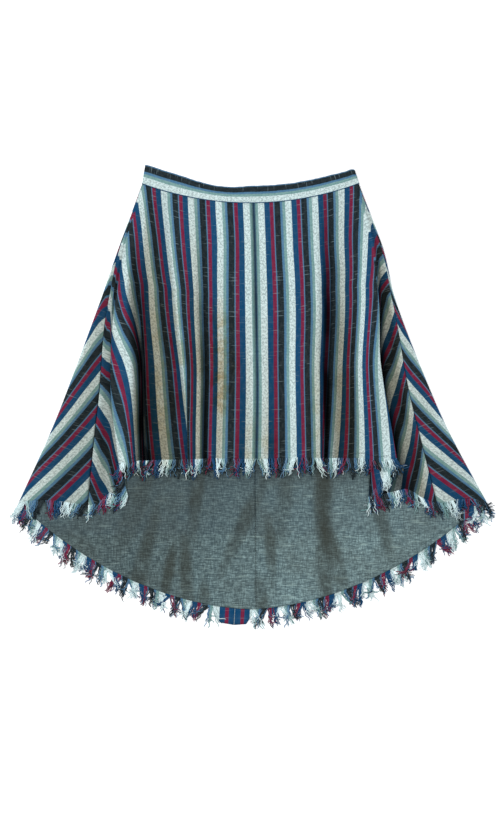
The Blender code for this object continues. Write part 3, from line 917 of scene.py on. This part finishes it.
def drawYarn(chance, look, root, clump, flip):
    # one yarn from its root in the hem to its tip, and its length
    steps = fringeLook["steps"]
    part = np.linspace(0, 1, steps)
    outward, sideways = clump["outward"], clump["sideways"]
    length = look["reach"] * clump["length"] * chance.uniform(0.72, 1.08)
    heading = clump["aim"] + math.radians(chance.normal(0, 5.0)) + clump["bend"] * part
    stride = length / (steps - 1)
    moves = np.outer(np.cos(heading), outward) + np.outer(np.sin(heading), sideways)
    run = root + np.cumsum(moves * stride, axis=0) - moves[0] * (stride + fringeLook["tuck"])
    pull = np.dot(clump["heart"] - root, sideways) * clump["gather"] * smooth(part, 0.0, 0.8)
    wide = look["curl"] * chance.uniform(0.2, 1.0)
    wave = wide * np.sin(part * chance.uniform(4, 9) + chance.uniform(0, 6.3)) * part
    crimp = fringeLook["crimp"] * np.sin(part * chance.uniform(14, 24) + chance.uniform(0, 6.3))
    run = run + np.outer(pull + wave + crimp * smooth(part, 0.1, 0.5), sideways)
    if chance.uniform() < fringeLook["hooked"]:
        hook = smooth(part, chance.uniform(0.35, 0.65), 1.0) * chance.choice([-1, 1])
        aside, back = fringeLook["hook"]
        run = run + np.outer(hook * aside, sideways) - np.outer(np.abs(hook) ** 1.5 * back, outward)
    rest = look["rest"] if root[2] < 0.002 or not flip else fringeLook["onLining"]
    stack = look["stack"] * chance.uniform(0, 1) ** 1.3
    settle = smooth(part, 0.12, 1.0)
    lying = rest + stack * np.sin(np.pi * (0.25 + 0.7 * part))
    high = (root[2] / mm + 0.5) * (1 - settle) + settle * lying
    high += 0.5 * np.sin(part * chance.uniform(3, 8) + chance.uniform(0, 6)) * part
    run[:, 2] = np.maximum(high, fringeLook["lowest"]) * mm
    return run, length


def fringe(name, panel, look, seed, flip):
    chance = np.random.default_rng(seed)
    where = np.linspace(0.01, panel.last - 0.01, fringeLook["samples"])
    hem, repeat, _, angle = panel.row(1.0, 0.0, where)
    walk, hemAt = measured(hem)
    laid = panel.side * angle
    unfrayed = (laid > tongue["from"]) & (laid < tongue["to"]) & (where > tongue["firstLine"]) & flip
    part = np.linspace(0, 1, fringeLook["steps"])
    paths, weaves, radii = [], [], []
    spot = 0.0
    while spot < walk[-1]:
        width = chance.uniform(*look["clump"])
        clump = {
            "aim": math.radians(chance.normal(0, look["spread"])),
            "length": chance.uniform(0.82, 1.08),
            "gather": chance.uniform(0.35, 0.75),
            "bend": chance.normal(0, 0.18),
            "heart": hemAt(min(spot + width / 2, walk[-1])),
        }
        outward = np.array([clump["heart"][0], clump["heart"][1] - cut["apexY"], 0.0])
        outward /= np.linalg.norm(outward)
        clump["outward"], clump["sideways"] = outward, np.array([-outward[1], outward[0], 0.0])
        for _ in range(max(int(width / fringeLook["spacing"]), 1) * fringeLook["layers"]):
            at = spot + chance.uniform(0, width)
            if at > walk[-1] or np.interp(at, walk, unfrayed) > 0.5:
                continue
            run, length = drawYarn(chance, look, hemAt(at), clump, flip)
            paths.append(run)
            stripe = np.interp(at, walk, repeat) + chance.normal(0, fringeLook["strays"])
            stripe = cut["backPhase"] - stripe if flip else stripe
            shift = chance.uniform(0, 3.0)
            weaves.append(np.stack([np.full(len(part), stripe), shift + part * length * 0.3], axis=-1))
            radii.append(fringeLook["radius"] * chance.uniform(0.8, 1.25) * (1 - 0.25 * part**3))
        spot += width * chance.uniform(0.92, 1.06)
    piece = tubes(name, np.array(paths), np.array(weaves), np.array(radii), yarnCotton)
    print(name, len(paths), "yarns")
    return piece


for seed, ((kind, side), panel) in enumerate(cloths.items(), 101):
    hand = handOf[side]
    piece = fringe(f"fringe_{kind}_{hand}_yarns", panel, fringeLook[kind], seed, kind == "back")
    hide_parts(f"fringe_{kind}_{hand}")
    width, length, area = sheetCuts[kind]
    [f"lining_{hand}"] if kind == "front" else []
print("fringe made")


# Stitches

stitchLook = {
    "length": 0.0026,
    "step": 0.0040,
    "radius": 0.00028,
    "inset": 0.010,
    "liningInset": 0.009,
    "proud": 0.0001,  # above the cloth
    "dip": 0.0003,
}


def stitches(name, line):
    # short dark stitches along a line, each a small tube that dips at its ends
    walk, pointAt = measured(line)
    part = np.linspace(-0.5, 0.5, 4)
    paths = []
    for number in range(int(walk[-1] / stitchLook["step"])):
        middle = (number + 0.5) * stitchLook["step"]
        path = np.array([pointAt(spot) for spot in middle + part * stitchLook["length"]])
        path[[0, -1], 2] -= stitchLook["dip"]
        paths.append(path)
    paths = np.array(paths)
    radii = np.full(paths.shape[:2], stitchLook["radius"])
    piece = tubes(name, paths, np.zeros((*paths.shape[:2], 2)), radii, darkThread)


for side, panel, lastLine in ((-1, frontLeft, 10.6), (1, frontRight, 6.6)):
    line = panel.row(1.0, -stitchLook["inset"], np.linspace(0.02, lastLine, 1500))[0]
    line[:, 2] += cut["cloth"] / 2 + stitchLook["proud"]
    stitches(f"hem_stitches_front_{handOf[side]}", line)

for side, hand in handOf.items():
    angle = np.linspace(side * liningSettings["seam"] + 0.1, liningSettings[hand] - 0.3, 900)
    length = np.vectorize(backLength)(angle)
    line = liningPoints(side, angle, 1.0 - stitchLook["liningInset"] / length)
    line[:, 2] += cut["liningCloth"] / 2 + stitchLook["proud"]
    stitches(f"hem_stitches_lining_{hand}", line)
print("stitches made")


# Stage

stageLook = {
    "floor": 3.0,  # half its width
    "camera": 4.0,
    "framed": 1.458,  # metres that the long side of the picture takes in
    "lookAt": (0.0, -0.029),
    "lights": {"keyLight": ((-1.5, 1.1, 2.4), 1.3, 60.0), "fillLight": ((1.6, -0.6, 2.6), 2.4, 26.0)},
    "sky": (0.93, 0.97, 1.0, 1.0),
    "skyStrength": 0.62,
    "paper": (0.93, 0.93, 0.93, 1.0),
    "paperGlow": 0.22,
    "sensor": 36.0,
}


def makeFloor():
    bpy.ops.mesh.primitive_plane_add(size=2 * stageLook["floor"], location=(0, 0, -0.0004))
    floor = bpy.context.object
    floor.name = "floor"
    paper = Finish("paper")
    grain = paper.noise(paper.position(), 300.0, 2.0)
    floor.data.materials.append(paper.surface(stageLook["paper"], 0.9, grain, 0.05, 0.0002))
    paper.shader.inputs["Emission Color"].default_value = (1.0, 1.0, 1.0, 1.0)
    paper.shader.inputs["Emission Strength"].default_value = stageLook["paperGlow"]


def makeLights():
    for name, (spot, size, power) in stageLook["lights"].items():
        light = bpy.data.objects.new(name, bpy.data.lights.new(name, "AREA"))
        light.data.size, light.data.energy = size, power
        light.location = spot
        light.rotation_euler = (-light.location).to_track_quat("-Z", "Y").to_euler()
        bpy.context.scene.collection.objects.link(light)
    sky = bpy.data.worlds.new("studio")
    sky.use_nodes = True
    sky.node_tree.nodes["Background"].inputs["Color"].default_value = stageLook["sky"]
    sky.node_tree.nodes["Background"].inputs["Strength"].default_value = stageLook["skyStrength"]
    bpy.context.scene.world = sky
    bpy.context.scene.view_settings.view_transform = "Standard"


def makeCamera():
    camera = bpy.data.objects.new("camera", bpy.data.cameras.new("camera"))
    camera.location = (*stageLook["lookAt"], stageLook["camera"])
    camera.data.sensor_width = stageLook["sensor"]
    camera.data.lens = stageLook["sensor"] * stageLook["camera"] / stageLook["framed"]
    bpy.context.scene.collection.objects.link(camera)
    bpy.context.scene.camera = camera


makeFloor()
makeLights()
makeCamera()
print("stage made")
